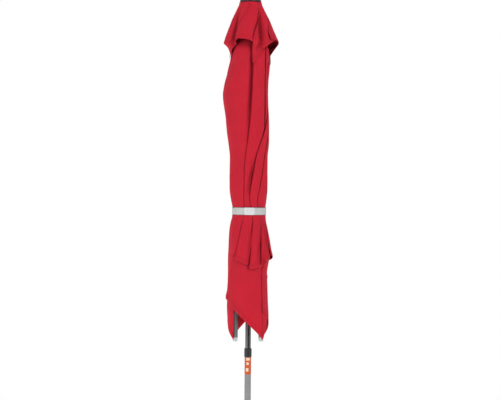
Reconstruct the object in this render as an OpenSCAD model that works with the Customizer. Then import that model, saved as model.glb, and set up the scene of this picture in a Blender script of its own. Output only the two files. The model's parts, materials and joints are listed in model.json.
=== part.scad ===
// Square push-up parasol of about 1.8 m by 1.8 m on a two-piece mast with a round weighted stand,
// closed and tied. Millimetres. Origin on the floor under the mast, +Z up, front is -Y.
// Angles called az are measured about +Z from the front (-Y) towards +X.

/* [Canopy] */
// Length of a rib from its hinge to its end
rib_l = 1300; // [1150:10:1400]
// Width of a rib bar
rib_w = 10; // [8:0.5:10]
// Depth of a rib bar
rib_d = 14; // [10:0.5:14]
// Lean of a closed rib away from vertical
closed_lean = 2; // [2:0.5:3]
// Length of a strut between its two pivots
strut_l = 560; // [520:5:600]
// Distance along the rib from its hinge to the strut bracket
bracket_at = 520; // [500:5:540]
// Thickness of the gathered cloth shell
cloth_t = 1.2; // [0.8:0.1:1.5]
// Length of the panel from the crown to the middle of its hem
panel_mid_l = 980; // [940:5:1010]
// Length of the vent hood from the crown to its corners
hood_l = 225; // [200:5:240]

/* [Mast] */
// Height of the rib hinges above the floor
hinge_z = 2324; // [2250:1:2350]
// Distance of the rib hinges from the mast axis
hinge_r = 25; // [24:0.5:27]
// Outside diameter of the upper mast tube
upper_d = 22; // [21:0.5:22]
// Outside diameter of the lower mast tube
lower_d = 25; // [25:0.5:26]
// Wall of both mast tubes
mast_wall = 1.2; // [1:0.1:1.2]
// Top of the lower tube's collar
collar_top = 992; // [900:1:1050]
// Height of the collar
collar_h = 34; // [30:1:40]
// Outside diameter of the collar
collar_d = 29; // [28:0.5:32]
// Height of the round crown cap's rim
cap_z = 2340; // [2338:1:2350]
// Diameter of the crown cap
cap_d = 84; // [70:1:90]

/* [Stand] */
// Diameter of the stand
base_d = 450; // [400:10:500]
// Height of the stand's dome at the flange
base_h = 62; // [58:1:70]
// Height of the socket tube's top
socket_top = 360; // [300:10:420]
// Outside diameter of the socket tube
socket_d = 38; // [36:1:42]

/* [Hidden] */
$fn = 64;
SMALL = 32;                                     // facets on small round parts
RIB_AZ = [-45, 45, 135, 225];                   // front left, front right, rear right, rear left
START_AZ = [45, 135, 225, 315];                 // right-hand rib of the front, right, rear, left panel
RUN = 0.1;                                      // radial running clearance at a pin
GAP = 0.3;                                      // clearance between parts that slide
FIT = 0.02;                                     // hairline gap between parts that touch

// stand
shell_t = 2.5;                                  // wall of the stand's plastic shell
shell_r = base_d / 2;
skirt_top = 20;                                 // where the shell's upright skirt turns into its shoulder
shoulder_w = 26;                                // how far the shoulder reaches in
shoulder_h = 14;
foot_h = 8;                                     // height of the rubber feet
foot_r_out = 15;                                // radius of a foot
foot_peg_r = 3.8;                               // radius of the peg that holds a foot
foot_inset = 30;                                // feet stand this far inside the shell's edge
flange_r = 55;                                  // socket flange
flange_t = 5;
bolt_circle = 40;                               // radius of the ring of flange bolts
bolt_r = 4;
bolt_l = 35;                                    // length of a bolt's shank
socket_wall = 1.5;
core_r = 22;                                    // opening under the socket
sleeve_foot = 100;                              // lower end of the plastic sleeve in the socket
knob_z = 300;                                   // height of the clamp knob
boss_r = 10;                                    // boss on the socket for the knob's thread
boss_l = 12;
grip_r = 17;                                    // clamp knob's grip
lobe_r = 5;

// mast
pole_foot = 72;                                 // underside of the lower tube's plug
plug_rim = 4;                                   // height of the plug's rim under the tube
upper_bottom = 640;                             // the upper tube's lower end, inside the lower tube
collar_in = upper_d / 2 + 0.4;                  // bore of the collar
screw_z = collar_top - 19;                      // height of the collar's screw
screw_hole_r = 3.2;
label_h = 66;                                   // height of the printed label under the collar

// hub, cap and runner
pin_r = 2;                                      // radius of the rib and strut pins
cheek_t = 3;                                    // thickness of hub and runner cheeks
hub_core = 17;
cap_rim = 4;                                    // height of the cap's rim below its dome
cap_rise = 19;                                  // height of the cap's dome
crown_screw_r = 2.5;
runner_in = upper_d / 2 + GAP;
runner_out = 20;
runner_l = 70;                                  // length of the runner below its strut pins
foot_r = 27;                                    // strut foot pivot's distance from the mast axis
button_r = 5;
button_az = 180;                                // the release button is at the back

// ribs and struts
lug_r = 6;                                      // radius of the eye at the end of a rib
rib_wall = 1.5;                                 // wall of the rib's hollow section
rib_end_l = 14;                                 // length of the cap on a rib's end
strut_w = 8;                                    // width of a strut bar
strut_d = 7;                                    // depth of a strut bar
strut_eye_r = 4.6;
strut_foot_r = 4.2;
bracket_in = 12;                                // strut pivot's distance inside the rib's centre line
bracket_t = 2;                                  // thickness of the bracket's side plates
bracket_h = 24;

// the closed strut's bracket pivot and the runner pivot's height that its length gives
bracket_r = hinge_r + bracket_at * sin(closed_lean) - bracket_in * cos(closed_lean);
bracket_z = hinge_z - bracket_at * cos(closed_lean) - bracket_in * sin(closed_lean);
runner_z = bracket_z - sqrt(strut_l * strut_l - pow(bracket_r - foot_r, 2));
strut_lean = asin((bracket_r - foot_r) / strut_l);
button_z = runner_z - 42;

// cloth
strap_z = 1512;                                 // bottom of the tie strap
strap_h = 29;
strap_r = 64;
strap_t = 1.5;
badge_w = 40;                                   // how far round the badge reaches, in degrees
SEAM = 0.5;                                     // gap between neighbouring cloth shells, in degrees
hem_run = 56;                                   // sideways distance over which a half panel's hem rises
// outside radius of the closed canopy at each height, from the crown to the rib ends
BUNDLE = [[38, hinge_z + 9], [62, hinge_z - 60], [84, hinge_z - 140], [86, hinge_z - 330],
          [80, hinge_z - 560], [63, strap_z + strap_h + 8], [62.2, strap_z + strap_h], [62.2, strap_z],
          [63, strap_z - 8], [76, strap_z - 110], [80.5, strap_z - 230], [81.5, hinge_z - rib_l - 12]];
// and of the vent hood
HOOD = [[40, hinge_z + 12], [66, hinge_z - 40], [97, hinge_z - hood_l * 0.55],
        [100, hinge_z - hood_l * 0.75], [97, hinge_z - hood_l * 0.98]];

// Places children whose +X points outward at the given azimuth.
module at_az(az) {
    rotate([0, 0, az - 90]) children();
}

// A plain tube standing on z = 0.
module tube(outer, inner, h) {
    difference() {
        cylinder(r = outer, h = h);
        translate([0, 0, -1]) cylinder(r = inner, h = h + 2);
    }
}

// A round bar along Y, centred on the origin.
module cross_pin(r, l) {
    rotate([90, 0, 0]) cylinder(r = r, h = l, center = true, $fn = SMALL);
}

// ---- Stand ----

module dome_outline(inset) {
    // a low dome: vertical skirt, long rounded shoulder, flat seat for the flange
    edge = shell_r - inset;
    polygon(concat([[0, foot_h + inset], [edge, foot_h + inset], [edge, skirt_top]],
        [for (a = [15:15:75]) [edge - shoulder_w * (1 - cos(a)), skirt_top + (shoulder_h - inset) * sin(a)]],
        [[flange_r + 12, base_h - inset], [0, base_h - inset]]));
}

module base_shell() {
    color([0.17, 0.17, 0.18]) difference() {
        rotate_extrude() dome_outline(0);
        rotate_extrude() dome_outline(shell_t);
        translate([0, 0, base_h - shell_t - 1]) cylinder(r = core_r, h = shell_t + 2);
        for (a = [45:90:315]) rotate(a) translate([bolt_circle, 0, base_h - shell_t - 1])
            cylinder(r = bolt_r + 0.2, h = shell_t + 2, $fn = SMALL);
        for (a = [0:60:300]) rotate(a) translate([shell_r - foot_inset, 0, foot_h - 1])
            cylinder(r = foot_peg_r + 0.2, h = shell_t + 2, $fn = SMALL);
    }
}

module base_ballast() {
    color([0.6, 0.6, 0.58]) difference() {
        rotate_extrude() dome_outline(shell_t + GAP);
        translate([0, 0, base_h - 26]) cylinder(r = core_r, h = 26);
        for (a = [45:90:315]) rotate(a) translate([bolt_circle, 0, base_h - bolt_l - 1])
            cylinder(r = bolt_r + 0.05, h = bolt_l + 1, $fn = SMALL);
        for (a = [0:60:300]) rotate(a) translate([shell_r - foot_inset, 0, foot_h])
            cylinder(r = foot_peg_r + 0.2, h = 12, $fn = SMALL);
    }
}

module base_feet() {
    color([0.08, 0.08, 0.08]) for (a = [0:60:300]) rotate(a) translate([shell_r - foot_inset, 0, 0]) {
        cylinder(r = foot_r_out, h = foot_h - FIT, $fn = SMALL);
        cylinder(r = foot_peg_r, h = foot_h + 10, $fn = SMALL);
    }
}

module base_socket() {
    color([0.2, 0.2, 0.21]) difference() {
        union() {
            translate([0, 0, base_h + FIT]) cylinder(r = flange_r, h = flange_t);
            translate([0, 0, base_h + flange_t]) cylinder(r1 = socket_d / 2 + 7, r2 = socket_d / 2, h = 10);
            translate([0, 0, base_h + FIT]) cylinder(r = socket_d / 2, h = socket_top - base_h);
            // boss for the clamp knob's thread
            translate([socket_d / 2 - 1, 0, knob_z]) rotate([0, 90, 0])
                cylinder(r = boss_r, h = boss_l, $fn = SMALL);
        }
        translate([0, 0, base_h - 1]) cylinder(r = socket_d / 2 - socket_wall, h = socket_top);
        translate([0, 0, knob_z]) rotate([0, 90, 0]) cylinder(r = bolt_r + RUN, h = 60, $fn = SMALL);
        for (a = [45:90:315]) rotate(a) translate([bolt_circle, 0, base_h - 1])
            cylinder(r = bolt_r + 0.2, h = flange_t + 2, $fn = SMALL);
    }
}

module base_bolts() {
    color([0.7, 0.7, 0.7]) for (a = [45:90:315]) rotate(a) translate([bolt_circle, 0, base_h + flange_t]) {
        translate([0, 0, 2 * FIT]) cylinder(r = 8.5, h = 1.2, $fn = SMALL);
        translate([0, 0, 1.2 + 2 * FIT]) cylinder(r = 6.5, h = 5, $fn = 6);
        translate([0, 0, -bolt_l]) cylinder(r = bolt_r, h = bolt_l + 2 * FIT, $fn = SMALL);
    }
}

module base_sleeve() {
    outer = socket_d / 2 - socket_wall - 0.05;
    rim = socket_d / 2 + 3;
    color([0.1, 0.1, 0.1]) difference() {
        union() {
            translate([0, 0, sleeve_foot]) cylinder(r = outer, h = socket_top - sleeve_foot + 2 * FIT);
            translate([0, 0, socket_top + 2 * FIT]) cylinder(r = rim, h = 6);
            translate([0, 0, socket_top + 6 + 2 * FIT]) cylinder(r1 = rim, r2 = lower_d / 2 + 3, h = 12);
        }
        translate([0, 0, sleeve_foot - 1]) cylinder(r = lower_d / 2 + GAP, h = socket_top);
        translate([0, 0, knob_z]) rotate([0, 90, 0]) cylinder(r = bolt_r + 0.5, h = 60, $fn = SMALL);
    }
}

module clamp_knob() {
    tip = lower_d / 2 + GAP;
    hub_x = socket_d / 2 + boss_l + 0.5;
    color([0.08, 0.08, 0.08]) translate([0, 0, knob_z]) rotate([0, 90, 0]) {
        translate([0, 0, tip]) cylinder(r = bolt_r, h = hub_x - tip + 2, $fn = SMALL);
        translate([0, 0, hub_x]) cylinder(r = 12, h = 12, $fn = SMALL);
        translate([0, 0, hub_x + 6]) linear_extrude(14) union() {
            circle(r = grip_r);
            for (a = [0:60:300]) rotate(a) translate([grip_r, 0]) circle(r = lobe_r, $fn = SMALL);
        }
    }
}

// ---- Mast ----

module lower_pole() {
    color([0.56, 0.56, 0.57]) difference() {
        translate([0, 0, pole_foot + plug_rim])
            cylinder(r = lower_d / 2, h = collar_top - 2 - pole_foot - plug_rim);
        translate([0, 0, pole_foot]) cylinder(r = lower_d / 2 - mast_wall, h = collar_top);
        translate([0, 0, screw_z]) rotate([90, 0, 0]) cylinder(r = screw_hole_r, h = 40, $fn = SMALL);
    }
}

module pole_foot_plug() {
    color([0.08, 0.08, 0.08]) translate([0, 0, pole_foot]) {
        cylinder(r = lower_d / 2, h = plug_rim - FIT);
        cylinder(r = lower_d / 2 - mast_wall, h = 30);
    }
}

module pole_collar() {
    z0 = collar_top - collar_h;
    seat_r = lower_d / 2 + 0.01;
    lip_z = collar_top - 2 + FIT;
    color([0.22, 0.22, 0.23]) difference() {
        rotate_extrude() polygon([[seat_r, z0], [collar_d / 2 - 0.6, z0], [collar_d / 2, z0 + 1.5],
            [collar_d / 2, collar_top - 3], [collar_d / 2 - 2, collar_top], [collar_in, collar_top],
            [collar_in, lip_z], [seat_r, lip_z]]);
        translate([0, 0, screw_z]) rotate([90, 0, 0]) cylinder(r = screw_hole_r, h = 40, $fn = SMALL);
    }
}

module height_label() {
    color([0.84, 0.33, 0.04]) translate([0, 0, collar_top - collar_h - label_h - 1])
        tube(lower_d / 2 + 0.25, lower_d / 2, label_h);
}

module collar_screw() {
    tip = upper_d / 2 + GAP;
    color([0.05, 0.05, 0.05]) translate([0, 0, screw_z]) rotate([90, 0, 0]) {
        translate([0, 0, tip]) cylinder(r = 3.1, h = collar_d / 2 - tip, $fn = SMALL);
        difference() {
            translate([0, 0, collar_d / 2 + 0.1]) cylinder(r = 4, h = 2.4, $fn = SMALL);
            translate([0, 0, collar_d / 2 + 1.2]) cylinder(r = 2, h = 3, $fn = 6);
        }
        translate([0, 0, tip + 1]) cylinder(r = 2, h = collar_d / 2 + 1 - tip, $fn = SMALL);
    }
}

module upper_pole() {
    color([0.74, 0.74, 0.75]) translate([0, 0, upper_bottom])
        tube(upper_d / 2, upper_d / 2 - mast_wall, hinge_z + 12 - upper_bottom);
}

// Plastic bush in the foot of the upper tube, which guides it inside the lower one.
module guide_bush() {
    color([0.1, 0.1, 0.1]) translate([0, 0, upper_bottom]) {
        translate([0, 0, -12]) cylinder(r = lower_d / 2 - mast_wall - 0.08, h = 11.98);
        translate([0, 0, -1]) cylinder(r = upper_d / 2 - mast_wall, h = 26);
    }
}

// ---- Hub, cap and runner ----

// Two upright cheeks either side of a bar of the given width, from r0 to r1.
module cheeks(r0, r1, z0, z1, bar) {
    for (s = [-1, 1]) translate([r0, s * (bar / 2 + 0.4 + cheek_t / 2) - cheek_t / 2, z0])
        cube([r1 - r0, cheek_t, z1 - z0]);
}

module hub() {
    color([0.16, 0.16, 0.17]) difference() {
        union() {
            translate([0, 0, hinge_z - 14]) cylinder(r = hub_core, h = cap_z - hinge_z + 13.98);
            for (az = RIB_AZ) at_az(az) cheeks(12, hinge_r + 7, hinge_z - 9, hinge_z + 10, rib_w);
        }
        translate([0, 0, hinge_z - 20]) cylinder(r = upper_d / 2, h = 32);
        translate([0, 0, hinge_z]) cylinder(r = crown_screw_r + RUN, h = 40, $fn = SMALL);
        for (az = RIB_AZ) at_az(az) translate([hinge_r, 0, hinge_z]) cross_pin(pin_r, 40);
    }
}

module hub_pins() {
    color([0.7, 0.7, 0.72]) for (az = RIB_AZ) at_az(az) translate([hinge_r, 0, hinge_z])
        cross_pin(pin_r, rib_w + 2 * cheek_t + 2.4);
}

module crown_cap() {
    r = cap_d / 2;
    color([0.15, 0.15, 0.16]) difference() {
        rotate_extrude() polygon(concat([[0, cap_z], [r - 2, cap_z], [r, cap_z + 2.5]],
            [for (a = [0:10:80]) [r * cos(a), cap_z + cap_rim + cap_rise * sin(a)]],
            [[0, cap_z + cap_rim + cap_rise]]));
        translate([0, 0, cap_z - 1]) cylinder(r = crown_screw_r + RUN, h = 10, $fn = SMALL);
    }
}

// Screw that holds the cap to the hub.
module crown_screw() {
    color([0.7, 0.7, 0.72]) translate([0, 0, cap_z - 24]) cylinder(r = crown_screw_r, h = 32, $fn = SMALL);
}

// A slot that opens downwards for a strut foot's pin, flaring below it.
module pin_notch() {
    translate([foot_r, 30, runner_z]) rotate([90, 0, 0]) linear_extrude(60) {
        circle(r = pin_r + 0.15, $fn = SMALL);
        polygon([[-2.15, 0], [2.15, 0], [4.5, -14], [-4.5, -14]]);
    }
}

module runner() {
    color([0.14, 0.14, 0.15]) difference() {
        union() {
            translate([0, 0, runner_z - runner_l]) cylinder(r = runner_out - 3, h = runner_l);
            translate([0, 0, runner_z - 9]) cylinder(r = runner_out, h = 24);
            for (az = RIB_AZ) at_az(az)
                cheeks(14, foot_r + 7, runner_z - 9, runner_z + 9, strut_w);
            translate([0, 0, runner_z - runner_l - 4]) cylinder(r = runner_out + 4, h = 5);
        }
        translate([0, 0, runner_z - runner_l - 10]) cylinder(r = runner_in, h = runner_l + 40);
        for (az = RIB_AZ) at_az(az) pin_notch();
        for (az = RIB_AZ) at_az(az) translate([foot_r - 6.6, -strut_w / 2 - 0.4, runner_z - 12])
            cube([20, strut_w + 0.8, 40]);
        at_az(button_az) translate([0, 0, button_z]) rotate([0, 90, 0])
            cylinder(r = button_r + GAP, h = 40, $fn = SMALL);
    }
}

module release_button() {
    color([0.6, 0.6, 0.6]) at_az(button_az) translate([runner_in + 2.6, 0, button_z]) rotate([0, 90, 0])
        cylinder(r = button_r, h = 9, $fn = SMALL);
}

// ---- Ribs and struts ----

// Coordinates along a closed rib: origin at its hinge, -Z down its length, +X outward.
module along_rib(az) {
    at_az(az) translate([hinge_r, 0, hinge_z]) rotate([0, -closed_lean, 0]) children();
}

module rib(az) {
    color([0.37, 0.42, 0.42]) along_rib(az) difference() {
        union() {
            cross_pin(lug_r, rib_w);
            translate([-lug_r + 1, -rib_w / 2, -24]) cube([2 * lug_r - 2, rib_w, 24]);
            translate([-rib_d / 2, -rib_w / 2, rib_end_l - rib_l])
                cube([rib_d, rib_w, rib_l - rib_end_l - 20]);
        }
        cross_pin(pin_r + RUN, rib_w + 4);
        // hollow section of the bar, open at its lower end
        translate([-rib_d / 2 + rib_wall, -rib_w / 2 + rib_wall, rib_end_l - 4 - rib_l])
            cube([rib_d - 2 * rib_wall, rib_w - 2 * rib_wall, rib_l - 40]);
        translate([0, 0, -bracket_at]) cross_pin(pin_r, rib_w + 4);
    }
}

module rib_end(az) {
    inset = rib_wall + RUN;
    color([0.72, 0.74, 0.75]) along_rib(az) translate([0, 0, -rib_l]) {
        translate([-rib_d / 2 - 0.5, -rib_w / 2 - 0.5, 0]) cube([rib_d + 1, rib_w + 1, rib_end_l - FIT]);
        translate([-rib_d / 2 + inset, -rib_w / 2 + inset, rib_end_l - 1])
            cube([rib_d - 2 * inset, rib_w - 2 * inset, 18]);
    }
}

// Saddle that hugs the rib's sides and reaches inward to the strut's upper pivot.
module bracket(az) {
    side = rib_w / 2 + 0.05;
    color([0.12, 0.12, 0.12]) along_rib(az) translate([0, 0, -bracket_at]) {
        difference() {
            for (s = [-1, 1])
                translate([-bracket_in - 5, s * (side + bracket_t / 2) - bracket_t / 2, -bracket_h / 2])
                    cube([bracket_in + rib_d / 2 + 3, bracket_t, bracket_h]);
            cross_pin(pin_r, 40);
            translate([-bracket_in, 0, 0]) cross_pin(pin_r, 40);
        }
        cross_pin(pin_r, rib_w + 6);
        translate([-bracket_in, 0, 0]) cross_pin(pin_r, rib_w + 6);
    }
}

module strut(az) {
    half = strut_w / 2;
    neck = 6;
    color([0.37, 0.42, 0.42]) at_az(az) translate([bracket_r, 0, bracket_z]) rotate([0, strut_lean, 0])
        difference() {
            union() {
                cross_pin(strut_eye_r, strut_w);
                translate([-neck / 2, -half, -14]) cube([neck, strut_w, 14]);
                translate([-strut_d / 2, -half, -strut_l + 8]) cube([strut_d, strut_w, strut_l - 20]);
                translate([0, 0, -strut_l]) {
                    cross_pin(strut_foot_r, strut_w);
                    translate([-neck / 2, -half, 0]) cube([neck, strut_w, 12]);
                    // stub pins that rest in the runner's notches
                    cross_pin(pin_r, strut_w + 2 * cheek_t + 0.6);
                }
            }
            cross_pin(pin_r + RUN, strut_w + 4);
        }
}

// ---- Cloth ----

module bundle_shell(a0, a1) {
    rotate([0, 0, a0]) rotate_extrude(angle = a1 - a0)
        polygon(concat(BUNDLE, [for (i = [len(BUNDLE) - 1:-1:0]) [BUNDLE[i][0] - cloth_t, BUNDLE[i][1]]]));
}

// Half of one canopy panel hanging between azimuth az and az + dir * 45, its hem rising from the rib.
module half_panel(az, dir) {
    low = az - 90 + (dir < 0 ? -45 : 0);
    hem_angle = atan((rib_l - panel_mid_l) / hem_run);
    color([0.75, 0.15, 0.2]) difference() {
        bundle_shell(low + SEAM, low + 45 - SEAM);
        at_az(az) translate([0, 0, hinge_z - rib_l - 8]) rotate([dir * hem_angle, 0, 0])
            translate([0, -500, -500]) cube([200, 1000, 500]);
    }
}

module hood_sector(az) {
    color([0.72, 0.13, 0.18]) rotate([0, 0, az - 180 + SEAM]) rotate_extrude(angle = 90 - 2 * SEAM)
        polygon(concat(HOOD, [for (i = [len(HOOD) - 1:-1:0]) [HOOD[i][0] - cloth_t, HOOD[i][1]]]));
}

module strap() {
    color([0.8, 0.8, 0.8]) translate([0, 0, strap_z]) tube(strap_r + 0.6, strap_r + 0.6 - strap_t, strap_h);
}

module strap_badge() {
    inner = strap_r + 0.6 + FIT;
    top = strap_z + strap_h - 1;
    color([0.95, 0.95, 0.95]) rotate([0, 0, -90 - badge_w / 2]) rotate_extrude(angle = badge_w)
        polygon([[inner, strap_z + 1], [inner + 1, strap_z + 1], [inner + 1, top], [inner, top]]);
}

// Coil spring behind the release button, drawn as the sleeve that it fills.
module button_spring() {
    color([0.7, 0.7, 0.72]) at_az(button_az) translate([runner_in + 0.1, 0, button_z]) rotate([0, 90, 0])
        tube(4, 3, 2.4, $fn = SMALL);
}

base_shell();
base_ballast();
base_feet();
base_socket();
base_bolts();
base_sleeve();
clamp_knob();
lower_pole();
pole_foot_plug();
pole_collar();
height_label();
collar_screw();
upper_pole();
guide_bush();
hub();
hub_pins();
crown_cap();
crown_screw();
runner();
release_button();
button_spring();
rib(RIB_AZ[0]);  // rib_front_left
rib(RIB_AZ[1]);  // rib_front_right
rib(RIB_AZ[2]);  // rib_rear_right
rib(RIB_AZ[3]);  // rib_rear_left
rib_end(RIB_AZ[0]);  // rib_end_front_left
rib_end(RIB_AZ[1]);  // rib_end_front_right
rib_end(RIB_AZ[2]);  // rib_end_rear_right
rib_end(RIB_AZ[3]);  // rib_end_rear_left
bracket(RIB_AZ[0]);  // bracket_front_left
bracket(RIB_AZ[1]);  // bracket_front_right
bracket(RIB_AZ[2]);  // bracket_rear_right
bracket(RIB_AZ[3]);  // bracket_rear_left
strut(RIB_AZ[0]);  // strut_front_left
strut(RIB_AZ[1]);  // strut_front_right
strut(RIB_AZ[2]);  // strut_rear_right
strut(RIB_AZ[3]);  // strut_rear_left
half_panel(START_AZ[0], -1);  // front_panel_lead
half_panel(START_AZ[0] - 90, 1);  // front_panel_trail
half_panel(START_AZ[1], -1);  // right_panel_lead
half_panel(START_AZ[1] - 90, 1);  // right_panel_trail
half_panel(START_AZ[2], -1);  // rear_panel_lead
half_panel(START_AZ[2] - 90, 1);  // rear_panel_trail
half_panel(START_AZ[3], -1);  // left_panel_lead
half_panel(START_AZ[3] - 90, 1);  // left_panel_trail
hood_sector(START_AZ[0]);  // front_hood
hood_sector(START_AZ[1]);  // right_hood
hood_sector(START_AZ[2]);  // rear_hood
hood_sector(START_AZ[3]);  // left_hood
strap();
strap_badge();
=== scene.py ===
"""A patio umbrella, closed and tied: its cloth, strap and button spring, then looks and light."""

import json
import math

import bpy
import numpy as np
from mathutils import Matrix, Vector


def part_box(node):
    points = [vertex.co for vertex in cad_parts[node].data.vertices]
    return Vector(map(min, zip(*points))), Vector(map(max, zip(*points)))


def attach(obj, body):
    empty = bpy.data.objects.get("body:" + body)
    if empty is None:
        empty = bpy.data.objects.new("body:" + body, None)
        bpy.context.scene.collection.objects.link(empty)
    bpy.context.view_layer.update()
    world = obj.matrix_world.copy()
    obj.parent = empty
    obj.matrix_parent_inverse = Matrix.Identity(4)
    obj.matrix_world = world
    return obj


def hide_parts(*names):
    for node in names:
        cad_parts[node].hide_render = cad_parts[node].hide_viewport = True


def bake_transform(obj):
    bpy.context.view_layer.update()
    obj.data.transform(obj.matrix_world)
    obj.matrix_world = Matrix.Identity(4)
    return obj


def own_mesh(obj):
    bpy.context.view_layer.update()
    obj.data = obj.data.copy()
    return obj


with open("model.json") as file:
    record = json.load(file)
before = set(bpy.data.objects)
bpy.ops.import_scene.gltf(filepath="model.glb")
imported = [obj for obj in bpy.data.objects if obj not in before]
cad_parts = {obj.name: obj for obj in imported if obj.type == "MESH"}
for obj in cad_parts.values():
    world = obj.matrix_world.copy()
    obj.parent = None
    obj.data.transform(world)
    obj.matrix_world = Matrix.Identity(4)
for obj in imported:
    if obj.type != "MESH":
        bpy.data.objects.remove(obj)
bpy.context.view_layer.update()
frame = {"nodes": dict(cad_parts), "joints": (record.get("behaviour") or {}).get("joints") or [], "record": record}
joints = {j["name"]: j for j in frame["joints"]}

# ---- Sizes, in metres and radians. Azimuth runs from the front (-Y) towards +X. ----

DEG = math.pi / 180
MM = 0.001
HINGE = Vector(joints["rib_front_right_fold"]["pos_m"])
HINGE_R, HINGE_Z = math.hypot(HINGE.x, HINGE.y), HINGE.z
CAP_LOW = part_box("crown_cap")[0]
STRAP_LOW, STRAP_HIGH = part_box("strap")
CROWN_Z = HINGE_Z + 10 * MM              # where the cloth leaves the hub
DROP = 0.985                             # height lost for each metre down the gathered cloth
LEAN = 2 * DEG                           # a closed rib's lean
RIB_OUT = 9.5 * MM                       # from a rib's centre line to the cloth on its outer face
PANEL_MID = 0.978                        # crown to the middle of a panel's hem
PANEL_TOP = 14 * MM                      # where a panel starts, from its apex
PANEL_ANGLE = 42.36 * DEG                # half the flat angle of a panel at the crown
HOOD_MID = 0.181                         # crown to the middle of the vent hood's hem
CLOTH_T = 0.6 * MM
STRAP_T = 1.4 * MM

# Both kinds of cloth: where a sector starts and how long its middle line is, and its rows of points
CUTS = {"canopy": (PANEL_TOP, PANEL_MID, 90), "hood": (0, HOOD_MID, 40)}

# Sectors in the order in which each one's flap lies over the one before: the azimuth of its
# right-hand rib, and that rib's body
SECTORS = {"front": (45, "rib_front_right"), "right": (135, "rib_rear_right"),
           "rear": (225, "rib_rear_left"), "left": (315, "rib_front_left")}

# Each panel leaves its right-hand rib, is wound back round the bundle and pleats over itself on
# the way. A turn is where it changes direction: the flat cloth's angle there, and how far round
# the bundle it has come, in degrees, at distances from the crown in metres.
TURNS = {
    "front": ((14, ((0, 20), (0.10, 85), (0.30, 140), (0.60, 165), (0.80, 175), (1.00, 182), (1.20, 184),
               (1.24, 194), (1.33, 200))),
              (31, ((0, 15), (0.2, 25)))),
    "right": ((6, ((0, 15), (0.2, 80), (0.8, 92))),
              (11, ((0, 10), (0.2, 30))),
              (29, ((0, 20), (0.10, 90), (0.23, 127), (0.42, 133), (0.52, 138), (0.62, 148), (0.80, 153),
                    (0.90, 162), (1.01, 178), (1.33, 230))),
              (46, ((0, 15), (0.2, 25)))),
    "rear": ((8, ((0, 15), (0.2, 70), (0.8, 100))),
             (14, ((0, 12), (0.2, 25))),
             (33, ((0, 18), (0.20, 95), (0.50, 125), (0.69, 148), (0.80, 150), (0.90, 152), (1.00, 158),
                   (1.33, 170))),
             (43, ((0, 16), (0.2, 60), (0.8, 75))),
             (59.9, ((0, 19), (0.20, 110), (0.38, 130), (0.50, 150), (0.57, 162), (0.71, 186), (0.79, 200),
                     (0.86, 180), (0.93, 186), (1.03, 190), (1.33, 200))),
             (61, ((0, 18), (0.2, 90), (0.5, 125), (0.8, 165), (0.9, 155))),
             (63.4, ((0, 20), (0.12, 90), (0.22, 150), (0.30, 156), (0.38, 146), (0.45, 162), (0.53, 184),
                     (0.60, 204), (0.66, 213), (0.75, 226), (0.80, 222), (0.84, 211), (0.90, 218),
                     (1.05, 226), (1.33, 235))),
             (76, ((0, 15), (0.2, 25)))),
    "left": ((17, ((0, 20), (0.10, 80), (0.30, 130), (0.60, 165), (0.80, 185), (1.00, 200), (1.33, 240))),
             (34, ((0, 15), (0.2, 25)))),
}
TURN_BLUR = 0.03                         # distance over which the corners in a turn's path are rounded
LAYERS = 9                               # steps from the ribs out to the bundle's outer face
TUCKED = 3                               # layers that a panel's last stretch lies deeper
HEM_FLARE, HEM_RISE = 4.5 * MM, 30 * MM  # how far a hem stands off, and over what height it does so
STEP_WIDTH = 5 * DEG                     # over which a layer dips under the edge of the next one
TURN_EASE = 0.06                         # share of a stretch in which it shifts half a layer at a turn
RIB_LEAVE = 12 * DEG                     # over which the first stretch comes out from its rib
WRINKLES_FROM = 0.2                      # distance from the crown at which the long folds reach full height

# Folds packed between two ribs
PACKED_ANGLE = 4 * DEG                   # of flat cloth in each
PACKED_OUT, PACKED_DEEP = 0.90, 0.42     # where they start and how deep they go, in rib distances
PACKED_TURN = 0.06                       # share of a fold's cloth that lies in the turn at each of its edges
PACKED_FULL = 9                          # folds that fill that depth
PACKED_SLACK = 0.42                      # half width of a fold, in shares of its cloth
POLE_CLEAR, RIB_CLEAR = 9 * MM, 2 * MM   # room left beside the pole and the ribs
FOLD_LEAST = 3 * MM                      # half width of the narrowest fold

# A panel's tail, over its left-hand rib: (share of the tail, distance from the axis over the rib's)
TAIL_ANGLE = 5 * DEG                     # of flat cloth in it
TAIL_OVER = ((0, 0.78), (0.3, 1.0), (0.85, 1.02), (1, 1.0))
# The front panel's tail passes behind the rib's free end instead: how far out it lies, and how far
# to the right of the rib in mm, from this distance down the cloth
TAIL_BEHIND = ((0, 0.6), (0.3, 0.68), (0.6, 0.74), (0.85, 0.96), (1, 1.0))
TAIL_ASIDE = ((0, 12), (0.3, 0), (0.6, -7.5), (0.85, -6.5), (1, 0))
TAIL_FROM, TAIL_BLEND = 1.10, 0.06
TAIL_BEND = 0.6                          # how soon a tail turns from the sector's middle to the rib

# Stations across the cloth
STATION_STEP = 4.5 * DEG                 # round the bundle, on a stretch of a panel
COUNT_AT = 0.8                           # distance from the crown at which a stretch is measured for them
LEAST_STATIONS, HOOD_LEAST_STATIONS = 6, 3
PACKED_STATIONS, TAIL_STATIONS = 7, 12
HOOD_STATION_STEP = 2.5                  # in degrees

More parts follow.
